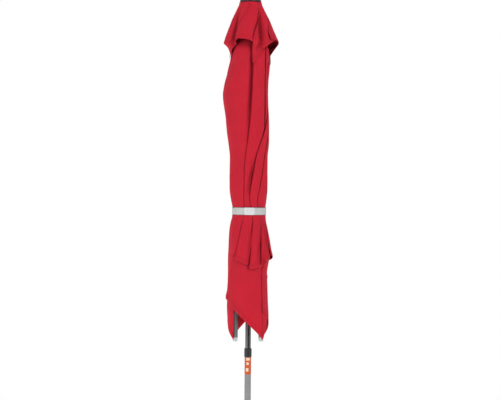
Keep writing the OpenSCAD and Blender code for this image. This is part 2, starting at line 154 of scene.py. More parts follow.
# Half widths of the closed bundle: (distance from the crown, to the left, to the right)
BUNDLE = ((0, 40, 40), (0.05, 44, 44), (0.10, 52, 50), (0.15, 64, 62), (0.185, 74, 72), (0.221, 77, 77),
          (0.26, 86, 75), (0.31, 98, 71), (0.356, 106, 71), (0.39, 103, 73), (0.45, 93, 76), (0.50, 88, 77),
          (0.55, 81, 76), (0.60, 76, 71), (0.68, 78, 71), (0.74, 77, 70), (0.785, 69, 65), (0.805, 64, 62),
          (0.835, 64, 62), (0.86, 71, 65), (0.89, 76, 72), (0.93, 78, 80), (0.974, 79, 88), (1.00, 80, 91),
          (1.03, 80, 82), (1.06, 80, 72), (1.10, 81, 70), (1.15, 83, 73), (1.20, 85, 78), (1.24, 82, 81),
          (1.28, 81, 80), (1.34, 80, 80))
BUNDLE_BLUR = 0.012                      # distance over which those corners are rounded

# The vent hood's half widths by height below its top: to the left, to the right
HOOD_SHAPE = ((0, 41, 41), (0.027, 54, 54), (0.066, 73, 74), (0.105, 87, 89), (0.135, 97, 103),
              (0.150, 101, 111), (0.160, 104, 112), (0.170, 91, 104), (0.180, 84, 97), (0.204, 76, 80),
              (0.25, 76, 78))
HOOD_BLUR = 0.004                        # distance over which those corners are rounded
HOOD_MID_FALL = 0.825                    # height lost down the middle of a side, per metre of cloth
HOOD_FALL = {"front": 1.0, "right": 0.985, "rear": 0.985, "left": 0.9}    # and down each corner
CORNER_SHARE = 0.8                       # of the way to a side's middle, where a corner's fall has died out
HOOD_TWIST, TWIST_DEEP = 35 * DEG, 0.16  # how far round from their ribs the corners hang, at this depth
HOOD_FULL = 0.12                         # height below the top at which the hood's folds reach full depth

# Stretches of a hood sector between its turns: the flat angle and the place round from the rib
# where each one ends, in degrees, how many layers down it lies, and from where on it comes up
HOOD_TURNS = ((3, 4, 0, None), (14, -14, 1, None), (24, 3, 2, None), (46, 52, 2, 3), (54, 38, 1, None),
              (84.72, 90, 2, 52))
HOOD_RISE_OVER = 4                       # degrees in which such a stretch comes up
HOOD_LAYER = 3                           # depth of a layer, in mm
HOOD_CLEAR = 4                           # least room in mm over the bundle, of which each layer takes one
HOOD_WAVES, WAVE_DRIFT, WAVE_HEIGHT = 7, 30, 1.2 * MM     # shallow waves round the hood, wandering downwards
HOOD_BELOW_CAP = 2 * MM

# Hollows that run down the cloth: azimuth and depth in mm, at distances from the crown or, on the
# hood, heights below its top; then half its width in degrees
GROOVES = ((((0.15, 5, 0), (0.24, 4, 14), (0.35, 1, 16), (0.42, -2, 15), (0.52, -6, 4), (0.56, -8, 0)), 4.5),
           (((0.57, 22, 0), (0.62, 13, 7), (0.67, 6, 15), (0.73, -2, 12), (0.78, -7, 0)), 4.5),
           (((0.56, -5, 0), (0.62, -12, -3), (0.70, -18, -3.5), (0.78, -20, -3), (0.83, -20, 0)), 4),
           (((0.86, 9, 0), (0.90, 6, 8), (0.97, 2, 13), (1.02, -1, 6), (1.05, -3, 0)), 4),
           (((0.85, 46, 0), (0.90, 40, 9), (0.97, 34, 17), (1.01, 32, 12), (1.03, 31, 0)), 7.5),
           (((0.84, 58, 0), (0.90, 58, 10), (0.955, 60, 12), (0.98, 60, 0)), 4),
           (((0.95, 47, 0), (0.98, 46, 9), (1.03, 45, 11), (1.06, 44, 0)), 3.5),
           (((1.055, 11, 0), (1.07, 12, 10), (1.095, 15, 10), (1.12, 17, 0)), 2.5),
           (((0.20, 205, 0), (0.30, 200, 8), (0.70, 190, 6), (0.78, 188, 0)), 5),
           (((0.25, 262, 0), (0.40, 258, 7), (0.70, 250, 7), (0.78, 248, 0)), 5))
HOOD_GROOVES = ((((0, 48, 0), (0.027, 44, 5), (0.07, 34, 22), (0.14, 29, 33), (0.20, 25, 28)), 9),
                (((0, -52, 0), (0.037, -52, 6), (0.08, -50, 20), (0.14, -48, 28), (0.20, -46, 20)), 9),
                (((0, 135, 0), (0.04, 132, 6), (0.14, 122, 24), (0.20, 120, 18)), 9),
                (((0, 225, 0), (0.04, 220, 6), (0.14, 208, 24), (0.20, 206, 18)), 9))
GROOVE_BLUR = 0.01                       # distance over which the corners in those paths are rounded

# Long shallow folds down the cloth: waves round the bundle, how fast they drift round it, height in mm
WRINKLES = ((3, 2.1, 1.0), (5, -3.3, 0.9), (8, 4.7, 0.6), (13, -6.1, 0.35))


def outward(az):
    """Level unit vectors that point away from the pole."""
    return np.stack([np.sin(az), -np.cos(az), np.zeros_like(az)], -1)


def upright(z):
    """Vectors that add these heights."""
    return np.stack([0 * z, 0 * z, z], -1)


def soft_interp(x, points, blur, column=1):
    """Linear interpolation, averaged over a short stretch so that it has no corners."""
    xs, ys = [p[0] for p in points], [p[column] for p in points]
    return sum(np.interp(x + o, xs, ys) for o in np.linspace(-blur, blur, 7)) / 7


def smooth(x):
    """A rise from 0 to 1 that starts and ends level."""
    x = np.clip(x, 0, 1)
    return x * x * (3 - 2 * x)


def shape_radius(shape, x, blur, az):
    """Distance from the pole's axis to a shape that is given by its half widths at places x."""
    left, right = soft_interp(x, shape, blur), soft_interp(x, shape, blur, 2)
    across = np.sin(az)
    return (np.where(across < 0, left, right) * across**2 + (left + right) / 2 * np.cos(az) ** 2) * MM


def bundle_radius(s, az):
    """Distance from the pole's axis to the closed bundle's outer face."""
    return shape_radius(BUNDLE, s, BUNDLE_BLUR, az)


def rib_radius(s):
    """Distance from the pole's axis to the outer face of a closed rib."""
    return HINGE_R + RIB_OUT + s * math.sin(LEAN)


def grooves(paths, s, az):
    """Total depth of the hollows at places (s, az)."""
    total = 0 * s
    for path, width in paths:
        off = np.mod(az - soft_interp(s, path, GROOVE_BLUR) * DEG + math.pi, 2 * math.pi) - math.pi
        total = total + soft_interp(s, path, GROOVE_BLUR, 2) * MM * np.exp(-(off / (width * DEG)) ** 2)
    return total


def wrinkles(s, az):
    """Height in mm of the long shallow folds, each of which wanders a little on its way down."""
    total = 0
    for k, (waves, drift, height) in enumerate(WRINKLES):
        total = total + height * np.sin(waves * az + drift * s * (2 + k) + 1.7 * k + 0.8 * np.sin(9 * s + k))
    return total


# ---- Canopy ----

def legs(name, s):
    """The stretches of a panel between its turns: flat angle, then place round the bundle, at both ends."""
    flat, at = 0.0, 0 * s
    out = []
    for angle, table in TURNS[name]:
        turn = soft_interp(s, table, TURN_BLUR) * DEG
        out.append((flat, angle * DEG, at, turn))
        flat, at = angle * DEG, turn
    return out


def covered(name, s, psi, count=None):
    """How many of a panel's first stretches, or of all, lie over a place psi round from its rib."""
    total = 0 * psi
    for _, _, start, end in legs(name, s)[:count]:
        low, high = np.minimum(start, end), np.maximum(start, end)
        total = total + smooth((psi - low) / STEP_WIDTH + 1) * smooth((high - psi) / STEP_WIDTH + 1)
    return total


def layers_above(name, number, s, psi):
    """How many layers of cloth lie outside stretch number of a panel."""
    order = list(SECTORS)
    place = order.index(name)
    above = covered(name, s, psi, number)
    for ahead in (1, 2, 3):
        above = above + covered(order[(place + ahead) % 4], s, psi + ahead * 90 * DEG)
    return above


def panel_stations(name):
    """Stations across a panel from its right-hand rib: (kind, stretch or layer, share of it, flat angle)."""
    full = 2 * PANEL_ANGLE
    out = [("leg", 0, 0.0, 0.0)]
    for number, (flat_a, flat_b, start, end) in enumerate(legs(name, np.array([COUNT_AT]))):
        count = max(LEAST_STATIONS, int(abs(end - start)[0] / STATION_STEP))
        shares = np.linspace(0, 1, count + 1)[1:]
        out += [("leg", number, share, flat_a + (flat_b - flat_a) * share) for share in shares]
    packed = out[-1][-1]
    count = max(1, round((full - TAIL_ANGLE - packed) / PACKED_ANGLE))
    each = (full - TAIL_ANGLE - packed) / count
    for layer in range(count):
        for share in np.linspace(0, 1, PACKED_STATIONS):
            flat_share = PACKED_TURN + (1 - 2 * PACKED_TURN) * share
            out.append(("packed", (layer, count), share, packed + each * (layer + flat_share)))
    shares = np.linspace(0, 1, TAIL_STATIONS + 1)[1:]
    return out + [("tail", 0, share, full - TAIL_ANGLE * (1 - share)) for share in shares]


def hem_distance(angle, middle):
    """From the crown to the hem at one angle of a flat cut whose middle line is this long."""
    return middle / math.cos(angle - PANEL_ANGLE)


def leg_point(name, number, share, angle, s):
    """On a stretch that is wound round, between the ribs and the bundle's outer face."""
    _, _, turn_from, turn_to = legs(name, s)[number]
    psi = turn_from + (turn_to - turn_from) * share
    az = SECTORS[name][0] * DEG - psi
    inner = rib_radius(s)
    above = layers_above(name, number, s, psi)
    near_hem = smooth((s - hem_distance(angle, PANEL_MID)) / HEM_RISE + 1)
    proud = HEM_FLARE * near_hem * (1 - smooth(above))
    if number > 0:
        above = above - 0.5 * (1 - smooth(share / TURN_EASE))
    if number < len(TURNS[name]) - 1:
        above = above + 0.5 * (1 - smooth((1 - share) / TURN_EASE))
    else:
        above = above + TUCKED * smooth(share / TURN_EASE)
    outer = bundle_radius(s, az) + wrinkles(s, az) * MM * smooth(s / WRINKLES_FROM) - grooves(GROOVES, s, az)
    outer = np.maximum(outer, inner + 1 * MM)
    level = np.clip(above / LAYERS, 0, 1)
    off_rib = smooth(psi / RIB_LEAVE) if number == 0 else 1
    return outward(az) * (inner + (outer - inner) * (1 - level) * off_rib + proud)[:, None]


def packed_point(name, layer, count, share, s):
    """In a fold packed between the two ribs, back and forth across the sector's middle."""
    start = SECTORS[name][0] * DEG
    middle, towards_start = outward(np.array(start - 45 * DEG)), outward(np.array(start + 45 * DEG))
    inner = rib_radius(s)
    each = (2 * PANEL_ANGLE - TURNS[name][-1][0] * DEG) / count
    deep = (layer + share) / count
    out = inner * (PACKED_OUT - PACKED_DEEP * deep * min(count / PACKED_FULL, 1))
    to_rib = np.sqrt(np.maximum(inner**2 - out**2, 0)) - RIB_CLEAR
    free = np.minimum(out - POLE_CLEAR, to_rib)
    half = np.minimum(np.maximum(free, FOLD_LEAST), PACKED_SLACK * each * s)
    side = 1 - 2 * share if layer % 2 == 0 else 2 * share - 1
    return out[:, None] * middle + (half * side)[:, None] * towards_start


def tail_point(name, share, s):
    """On the last of a panel, which comes out over its left-hand rib."""
    start = SECTORS[name][0] * DEG
    inner = rib_radius(s)
    psi = (45 + 45 * share**TAIL_BEND) * DEG
    over = outward(np.array(start - psi)) * (np.interp(share, *zip(*TAIL_OVER)) * inner)[:, None]
    if name != "front":
        return over
    rib_line, right = outward(np.array(start - 90 * DEG)), outward(np.array(start))
    along = np.interp(share, *zip(*TAIL_BEHIND)) * inner
    behind = along[:, None] * rib_line + np.interp(share, *zip(*TAIL_ASIDE)) * MM * right
    low = smooth((s - TAIL_FROM) / TAIL_BLEND)[:, None]
    return over * (1 - low) + behind * low


def panel_point(name, station, s):
    """Where the points at distances s down one station of a closed panel lie."""
    kind, number, share, angle = station
    if kind == "leg":
        place = leg_point(name, number, share, angle, s)
    elif kind == "packed":
        place = packed_point(name, *number, share, s)
    else:
        place = tail_point(name, share, s)
    return place + upright(CROWN_Z - DROP * s)


def sheet_object(name, grid, uv, material):
    """A grid of points [column, row] as a mesh, with its place on the flat cut as UVs."""
    columns, rows = grid.shape[:2]
    index = np.arange(columns * rows).reshape(columns, rows)
    quads = np.stack([index[:-1, :-1], index[:-1, 1:], index[1:, 1:], index[1:, :-1]], -1).reshape(-1, 4)
    mesh = bpy.data.meshes.new(name)
    mesh.from_pydata(grid.reshape(-1, 3).tolist(), [], quads.tolist())
    layer = mesh.uv_layers.new(name="cut")
    corners = np.zeros(len(mesh.loops), np.int32)
    mesh.loops.foreach_get("vertex_index", corners)
    layer.data.foreach_set("uv", uv.reshape(-1, 2)[corners].astype(np.float32).ravel())
    mesh.shade_smooth()
    mesh.materials.append(material)
    obj = bpy.data.objects.new(name, mesh)
    bpy.context.scene.collection.objects.link(obj)
    return obj


def spread_across(obj, body_a, body_b, weights):
    """Bakes the sheet's transform into its mesh; body_a, body_b and weights are not used."""
    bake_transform(obj)


def thicken(obj, thickness):
    """Gives a sheet its thickness, half on either side."""
    solid = obj.modifiers.new("thickness", "SOLIDIFY")
    solid.thickness = thickness
    solid.offset = 0


def flat_place(s, angle, middle):
    """Place on the flat cut: across from its middle line, and up from its hem."""
    return np.stack([s * math.sin(angle - PANEL_ANGLE), middle - s * math.cos(angle - PANEL_ANGLE)], -1)


def snap_split(stations):
    """Puts the first station past the middle of a flat sector exactly on it, and says which one it is."""
    split = next(i for i, station in enumerate(stations) if station[-1] >= PANEL_ANGLE)
    stations[split] = (*stations[split][:-1], PANEL_ANGLE)
    return split


def make_sector(kind, name, stations, point, nodes, material):
    """A sector's cloth, gathered between its ribs, in two halves."""
    top, middle, row_count = CUTS[kind]
    split = snap_split(stations)
    angles = np.array([station[-1] for station in stations])
    grid, uv = [], []
    for station, angle in zip(stations, angles):
        s = top + (hem_distance(angle, middle) - top) * np.linspace(0, 1, row_count)
        grid.append(point(name, station, s))
        uv.append(flat_place(s, angle, middle))
    grid, uv = np.array(grid), np.array(uv)
    rib, fold, end = SECTORS[name][1], name + "_fold", name + "_end"
    halves = []
    for half, node, cut, first, bodies in (
            ("lead", nodes[0], slice(0, split + 1), 0, (rib, fold)),
            ("trail", nodes[1], slice(split, len(angles)), 1, (fold, end))):
        obj = sheet_object(f"{kind}_{name}_{half}", grid[cut], uv[cut], material)
        weights = np.repeat((angles[cut] / PANEL_ANGLE - first)[:, None], row_count, 1)
        spread_across(obj, *bodies, weights)
        thicken(obj, CLOTH_T)
        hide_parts(node)
        halves.append(obj)
    return halves


def make_panel(name, material):
    """One panel of the canopy."""
    nodes = (f"{name}_panel_lead", f"{name}_panel_trail")
    return make_sector("canopy", name, panel_stations(name), panel_point, nodes, material)


# ---- Vent hood ----

def hood_stations():
    """Stations across one sector of the hood: (stretch, place round from the rib, flat angle)."""
    out = [(0, 0.0, 0.0)]
    flat, at = 0.0, 0.0
    for number, (angle, turn, _, _) in enumerate(HOOD_TURNS):
        count = max(HOOD_LEAST_STATIONS, int(abs(turn - at) / HOOD_STATION_STEP))
        for share in np.linspace(0, 1, count + 1)[1:]:
            out.append((number, (at + (turn - at) * share) * DEG, (flat + (angle - flat) * share) * DEG))
        flat, at = angle, turn
    return out


def hood_layers_down(number, psi):
    """How many layers down stretch number of the hood lies, at a place psi round from the rib."""
    _, _, layers, comes_up = HOOD_TURNS[number]
    if comes_up is None:
        return layers
    return layers * float(1 - smooth(np.array((psi / DEG - comes_up) / HOOD_RISE_OVER)))


def hood_point(name, station, s):
    """Where the points at distances s down one station of the closed hood lie."""
    number, psi, angle = station
    order = list(SECTORS)
    corner = name if angle < PANEL_ANGLE else order[order.index(name) - 1]
    from_corner = min(angle, 2 * PANEL_ANGLE - angle) / PANEL_ANGLE
    fall = HOOD_FALL[corner]
    fall = fall + (HOOD_MID_FALL - fall) * smooth(np.array(from_corner / CORNER_SHARE))
    az = SECTORS[name][0] * DEG - psi - HOOD_TWIST * smooth(s / TWIST_DEEP)
    below = s * fall
    grown = smooth(below / HOOD_FULL)
    down = hood_layers_down(number, psi)
    r = shape_radius(HOOD_SHAPE, below, HOOD_BLUR, az)
    r = r - down * HOOD_LAYER * MM * grown - grooves(HOOD_GROOVES, below, az)
    r = r + WAVE_HEIGHT * np.sin(HOOD_WAVES * az + WAVE_DRIFT * s) * grown
    z = CAP_LOW[2] - HOOD_BELOW_CAP - below
    clear = bundle_radius((CROWN_Z - z) / DROP, az) + (HOOD_CLEAR - down) * MM
    return outward(az) * np.maximum(r, clear)[:, None] + upright(z)


def make_hood(name, material):
    """One sector of the vent hood, both of whose halves stand for one sub-part."""
    make_sector("hood", name, hood_stations(), hood_point, (f"{name}_hood", f"{name}_hood"), material)


# ---- Tie strap ----

STRAP_START, STRAP_OVERLAP = 100 * DEG, 0.35     # where it begins, and how far round its end laps over that
STRAP_CLIMB = 0.15                       # the last of a full turn, in which its end climbs over its start
STRAP_STEP = 1.1                         # height of that climb, in strap thicknesses
STRAP_CLEAR = 1 * MM                     # from the cloth's outline to the strap
STRAP_MARGIN = 6 * MM                    # cloth this far above and below the strap shapes that outline too
STRAP_STATIONS, STRAP_ROWS = 150, 7

TAB_HALF, TAB_CORNER, TAB_T, TAB_EDGE = 20.4 * MM, 5 * MM, 1.6 * MM, 0.5 * MM
TAB_MARGIN = 0.4 * MM                    # how much lower than the strap it is, above and below
TAB_BENT, TAB_AT = 0.066, 1.5 * DEG      # its radius and the azimuth of its middle
TAB_OUT = 2.9 * MM                       # from the cloth's outline to its middle layer


def left_turn(chain, point):
    """Whether the way from a chain's last edge to a point turns left."""
    return np.cross(np.subtract(chain[-1], chain[-2]), np.subtract(point, chain[-1])) > 0


def convex_outline(points):
    """The convex hull of 2D points, anticlockwise."""
    points = sorted(set(map(tuple, np.round(points, 5))))
    chains = []
    for run in (points, points[::-1]):
        chain = []
        for point in run:
            while len(chain) > 1 and not left_turn(chain, point):
                chain.pop()
            chain.append(point)
        chains.append(chain[:-1])
    return np.array(chains[0] + chains[1])


def outline_radius(outline, az):
    """Distance from the pole's axis to a convex outline, in directions az."""
    edge = np.roll(outline, -1, 0) - outline
    normal = np.stack([edge[:, 1], -edge[:, 0]], -1)
    normal /= np.linalg.norm(normal, axis=1)[:, None]
    reach = (normal * outline).sum(1)
    facing = outward(az)[:, :2] @ normal.T
    return np.where(facing > 1e-6, reach / np.maximum(facing, 1e-6), np.inf).min(1)


def cloth_outline(panels, low, high):
    """The convex outline of the panels' cloth between two heights."""
    points = []
    for obj in panels:
        co = np.zeros(len(obj.data.vertices) * 3, np.float32)
        obj.data.vertices.foreach_get("co", co)
        co = co.reshape(-1, 3)
        points.append(co[(co[:, 2] > low) & (co[:, 2] < high)][:, :2])
    return convex_outline(np.concatenate(points))


def band(name, az, low, high, radius, rows, material):
    """A strip round the bundle between two heights."""
    z = np.linspace(low, high, rows)
    grid = np.array([outward(np.array(a)) * r + upright(z) for a, r in zip(az, radius)])
    along = np.concatenate([[0], np.cumsum(np.linalg.norm(np.diff(grid[:, 0], axis=0), axis=1))])
    uv = np.stack(np.broadcast_arrays(along[:, None], (z - low)[None, :]), -1)
    return sheet_object(name, grid, uv, material), along[-1]


def ride_strap(obj):
    """The strap and its tab stay on one rib."""
    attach(obj, "rib_front_right")
    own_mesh(obj)


def make_tab(outline, low, high, material):
    """The badge: a tab with rounded corners on the front of the strap."""
    across = TAB_HALF * np.sin(np.linspace(-math.pi / 2, math.pi / 2, 21))
    into = np.maximum(np.abs(across) - (TAB_HALF - TAB_CORNER), 0)
    reach = (high - low) / 2 - TAB_CORNER + np.sqrt(np.maximum(TAB_CORNER**2 - into**2, 0))
    az = across / TAB_BENT + TAB_AT
    z = (low + high) / 2 + reach[:, None] * np.linspace(-1, 1, 9)
    grid = outward(az)[:, None] * (outline_radius(outline, az) + TAB_OUT)[:, None, None] + upright(z)
    uv = np.stack(np.broadcast_arrays(across[:, None], z - low), -1)
    return sheet_object("strap_badge_tab", grid, uv, material)


def make_strap(panels, webbing, white):
    """The strap that ties the bundle, drawn tight round the cloth, and its badge."""
    low, high = STRAP_LOW[2], STRAP_HIGH[2]
    outline = cloth_outline(panels, low - STRAP_MARGIN, high + STRAP_MARGIN)
    full = 2 * math.pi
    turns = np.linspace(0, full + STRAP_OVERLAP, STRAP_STATIONS)
    az = STRAP_START + turns
    climb = STRAP_T * STRAP_STEP * smooth((turns - full + STRAP_CLIMB) / STRAP_CLIMB)
    radius = outline_radius(outline, az) + STRAP_CLEAR + climb
    strap, length = band("tie_strap", az, low, high, radius, STRAP_ROWS, webbing)
    thicken(strap, STRAP_T)
    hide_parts("strap")
    ride_strap(strap)
    badge = make_tab(outline, low + TAB_MARGIN, high - TAB_MARGIN, white)
    thicken(badge, TAB_T)
    bevel = badge.modifiers.new("edge", "BEVEL")
    bevel.width, bevel.segments, bevel.angle_limit = TAB_EDGE, 2, 50 * DEG
    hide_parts("strap_badge")
    ride_strap(badge)


# ---- Spring behind the release button ----

COIL_TURNS, COIL_WIRE = 4, 0.2 * MM
COIL_STEPS, WIRE_STEPS = 24, 8           # round one turn of the coil, and round its wire


def make_button_coil(material):
    """A coil in place of the sleeve."""
    low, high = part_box("button_spring")
    coil_r = (high[0] - low[0]) / 2 - COIL_WIRE
    centre = np.array(((low[0] + high[0]) / 2, 0, (low[2] + high[2]) / 2))
    turn = np.linspace(0, 2 * math.pi * COIL_TURNS, COIL_STEPS * COIL_TURNS + 1)
    round_wire = np.linspace(0, 2 * math.pi, WIRE_STEPS + 1)[None, :, None]
    radial = np.stack([np.cos(turn), 0 * turn, np.sin(turn)], -1)
    axis = np.array((0.0, 1.0, 0.0))
    along = np.linspace(low[1] + COIL_WIRE, high[1] - COIL_WIRE, len(turn))
    path = centre + coil_r * radial + along[:, None] * axis
    grid = path[:, None] + COIL_WIRE * (np.cos(round_wire) * radial[:, None] + np.sin(round_wire) * axis)
    coil = sheet_object("button_coil", grid, grid[..., :2], material)
    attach(coil, "runner")
    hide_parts("button_spring")
    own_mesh(coil)


# ---- Materials ----

OPENNESS_SAMPLES = 8
BROAD_SCALE = 25                         # how much larger a surface's clouds are than its grain
GLOSS_VARY = 0.15                        # share by which the grain changes the roughness


class Look:
    """A Principled material, with short ways to add nodes to it."""

    def __init__(self, name, color, roughness, metallic=0.0, **sockets):
        self.material = bpy.data.materials.new(name)
        self.material.use_nodes = True
        self.nodes, self.links = self.material.node_tree.nodes, self.material.node_tree.links
        self.shader = self.nodes["Principled BSDF"]
        self.shader.inputs["Base Color"].default_value = (*color, 1)
        self.shader.inputs["Roughness"].default_value = roughness
        self.shader.inputs["Metallic"].default_value = metallic
        for key, value in sockets.items():
            self.shader.inputs[key.replace("_", " ")].default_value = value

    def place(self, kind, scale=(1, 1, 1)):
        """Coordinates: Object or UV, scaled."""
        source = self.nodes.new("ShaderNodeTexCoord")
        mapping = self.nodes.new("ShaderNodeMapping")
        mapping.inputs["Scale"].default_value = scale
        self.links.new(source.outputs[kind], mapping.inputs["Vector"])
        return mapping.outputs["Vector"]

    def parts(self, vector):
        """A vector's X, Y and Z."""
        node = self.nodes.new("ShaderNodeSeparateXYZ")
        self.links.new(vector, node.inputs["Vector"])
        return node.outputs

    def noise(self, vector, scale, detail=3.0):
        """Soft random blotches between 0 and 1."""
        node = self.nodes.new("ShaderNodeTexNoise")
        node.inputs["Scale"].default_value = scale
        node.inputs["Detail"].default_value = detail
        self.links.new(vector, node.inputs["Vector"])
        return node.outputs["Fac"]

    def wave(self, vector, scale, axis):
        """Even bands across an axis."""
        node = self.nodes.new("ShaderNodeTexWave")
        node.bands_direction = axis
        node.inputs["Scale"].default_value = scale
        self.links.new(vector, node.inputs["Vector"])
        return node.outputs["Fac"]

    def openness(self, reach):
        """How open each place is to its surroundings within this reach: least down in the folds; the cloth paints
        shade from it.
        """
        node = self.nodes.new("ShaderNodeAmbientOcclusion")
        node.samples = OPENNESS_SAMPLES
        node.inputs["Distance"].default_value = reach
        return node.outputs["AO"]

    def math(self, operation, a, b=0.0, c=0.0):
        """Arithmetic on numbers, on outputs of other nodes, or on both."""
        node = self.nodes.new("ShaderNodeMath")
        node.operation = operation
        for socket, value in zip(node.inputs, (a, b, c)):
            if isinstance(value, (int, float)):
                socket.default_value = value
            else:
                self.links.new(value, socket)
        return node.outputs["Value"]

    def spread(self, value, low, high, out_low, out_high):
        """Maps low..high to out_low..out_high, and holds the ends."""
        node = self.nodes.new("ShaderNodeMapRange")
        for socket, number in zip(list(node.inputs)[1:5], (low, high, out_low, out_high)):
            socket.default_value = number
        self.links.new(value, node.inputs["Value"])
        return node.outputs["Result"]

    def mix(self, factor, a, b):
        """Colour a where the factor is 0, b where it is 1."""
        node = self.nodes.new("ShaderNodeMix")
        node.data_type = "RGBA"
        colors = [s for s in node.inputs if s.type == "RGBA"]
        for socket, value in zip(colors, (a, b)):
            if isinstance(value, tuple):
                socket.default_value = (*value, 1)
            else:
                self.links.new(value, socket)
        self.links.new(factor, node.inputs["Factor"])
        return [s for s in node.outputs if s.type == "RGBA"][0]

    def paint(self, color):
        """Uses a colour output as the base colour."""
        self.links.new(color, self.shader.inputs["Base Color"])

    def gloss(self, value):
        """Uses a number output as the roughness."""
        self.links.new(value, self.shader.inputs["Roughness"])

    def bump(self, height, distance, strength=1.0):
        """Uses a height output as fine relief, this deep."""
        node = self.nodes.new("ShaderNodeBump")
        node.inputs["Distance"].default_value = distance
        node.inputs["Strength"].default_value = strength
        self.links.new(height, node.inputs["Height"])
        self.links.new(node.outputs["Normal"], self.shader.inputs["Normal"])


def shade(color, factor):
    """A darker or lighter shade of a colour."""
    return tuple(channel * factor for channel in color)


def shades(color, low, high):
    """A darker and a lighter shade of a colour, by these factors."""
    return shade(color, low), shade(color, high)


def speckled(name, color, roughness, metallic=0.0, scale=400, depth=0.05, vary=0.12, stretch=(1, 1, 1)):
    """A moulded, painted or drawn surface: fine grain in its gloss and relief, broad in its colour."""
    look = Look(name, color, roughness, metallic)
    where = look.place("Object", stretch)
    grain = look.noise(where, scale)
    broad = look.noise(where, scale / BROAD_SCALE, 2.0)
    look.paint(look.mix(broad, *shades(color, 1 - vary, 1 + vary)))
    dull = min(1, roughness * (1 + GLOSS_VARY))
    look.gloss(look.spread(grain, 0.3, 0.7, roughness * (1 - GLOSS_VARY), dull))
    look.bump(grain, depth * MM)
    return look


WEAVE_SCALE = 1600
STITCH_PITCH, STITCH_SHARE = 3.2 * MM, 0.72      # from stitch to stitch, and the share of it with thread
STITCH_ROWS, STITCH_HALF = (9 * MM, 17 * MM), 0.7 * MM     # heights above the hem, and half a thread's width
HEM_FOLD = 19 * MM                       # height of the doubled cloth along the hem
PAINTED_SHADE_REACH = 45 * MM                     # cloth this near a place paints shade on it
PAINTED_SHADE_OPENNESS = (0.45, 0.9)              # how open the places with the darkest painted shade and with none are
CLOUD_SCALE, SLUB_SCALE, SLUB_LONG = 9, 160, 14
CLOUD_SHADES = (0.86, 1.1)
# the last of these is painted shade down in the cloth's folds; the first two are its own thick threads and
# stitches
SLUB_SHADE, STITCH_SHADE, FOLD_PAINTED_SHADE = 0.7, 0.5, 0.45
WEAVE_UP, SLUB_UP, HEM_UP, STITCH_DOWN = 0.35, 0.5, 1.2, 1.5     # shares of the cloth's relief
CLOTH_RELIEF, CLOTH_RELIEF_STRENGTH = 0.3 * MM, 0.8


def cloth_look(color):
    """Plain-woven polyester that lets a little light through, with two rows of stitches along its hem and painted
    shade in its folds.
    """
    look = Look("woven polyester", color, 0.7, Specular_IOR_Level=0.14,
                Subsurface_Weight=0.35, Subsurface_Scale=0.003, Subsurface_Radius=(1, 0.15, 0.15))
    cut = look.place("UV")
    weave = look.math("MULTIPLY", look.wave(cut, WEAVE_SCALE, "X"), look.wave(cut, WEAVE_SCALE, "Y"))
    broad = look.noise(cut, CLOUD_SCALE, 4.0)
    slub = look.noise(look.place("UV", (1, SLUB_LONG, 1)), SLUB_SCALE, 2.0)
    where = look.parts(cut)
    along, above_hem = where["X"], where["Y"]
    dash = look.math("LESS_THAN", look.math("FRACT", look.math("DIVIDE", along, STITCH_PITCH)), STITCH_SHARE)
    stitches = None
    for row in STITCH_ROWS:
        off_row = look.math("ABSOLUTE", look.math("SUBTRACT", above_hem, row))
        line = look.math("MULTIPLY", look.math("LESS_THAN", off_row, STITCH_HALF), dash)
        stitches = line if stitches is None else look.math("MAXIMUM", stitches, line)
    tone = look.mix(broad, *shades(color, *CLOUD_SHADES))
    tone = look.mix(look.spread(slub, 0.35, 0.75, 0.0, 0.25), tone, shade(color, SLUB_SHADE))
    tone = look.mix(stitches, tone, shade(color, STITCH_SHADE))
    # painted shade: the cloth's colour darkens where other cloth is near, down in its folds
    lit = look.spread(look.openness(PAINTED_SHADE_REACH), *PAINTED_SHADE_OPENNESS, 0, 1)
    look.paint(look.mix(lit, shade(color, FOLD_PAINTED_SHADE), tone))
    hem = look.math("LESS_THAN", above_hem, HEM_FOLD)
    height = look.math("ADD", look.math("MULTIPLY", weave, WEAVE_UP), look.math("MULTIPLY", slub, SLUB_UP))
    height = look.math("ADD", height, look.math("MULTIPLY", hem, HEM_UP))
    height = look.math("SUBTRACT", height, look.math("MULTIPLY", stitches, STITCH_DOWN))
    look.bump(height, CLOTH_RELIEF, CLOTH_RELIEF_STRENGTH)
    return look


WEBBING_MIDDLE, WEBBING_HALF = 14.5 * MM, 12.3 * MM        # of the strap's pale field, between dark edges
EDGE_SHADE, RIB_SHADES = 0.55, (0.78, 1.1)
RIB_SCALE, PICK_SCALE, PICK_UP = 210, 420, 0.6
WEBBING_RELIEF = 0.35 * MM


def webbing_look(color):
    """Ribbed webbing with darker edges."""
    look = Look("woven webbing", color, 0.8, Sheen_Weight=0.2)
    cut = look.place("UV")
    ribs = look.wave(cut, RIB_SCALE, "Y")
    picks = look.wave(cut, PICK_SCALE, "X")
    field = look.math("COMPARE", look.parts(cut)["Y"], WEBBING_MIDDLE, WEBBING_HALF)
    tone = look.mix(ribs, *shades(color, *RIB_SHADES))
    look.paint(look.mix(field, shade(color, EDGE_SHADE), tone))
    look.bump(look.math("ADD", ribs, look.math("MULTIPLY", picks, PICK_UP)), WEBBING_RELIEF)
    return look


# Pale patches on the height label, in mm: to the right of and above its middle, half width, half height
LABEL_PATCHES = ((0, 26, 7, 5), (-1, 9, 4.5, 5), (-2.5, -15, 5, 6.5))
LABEL_PALE = (0.75, 0.6, 0.45)


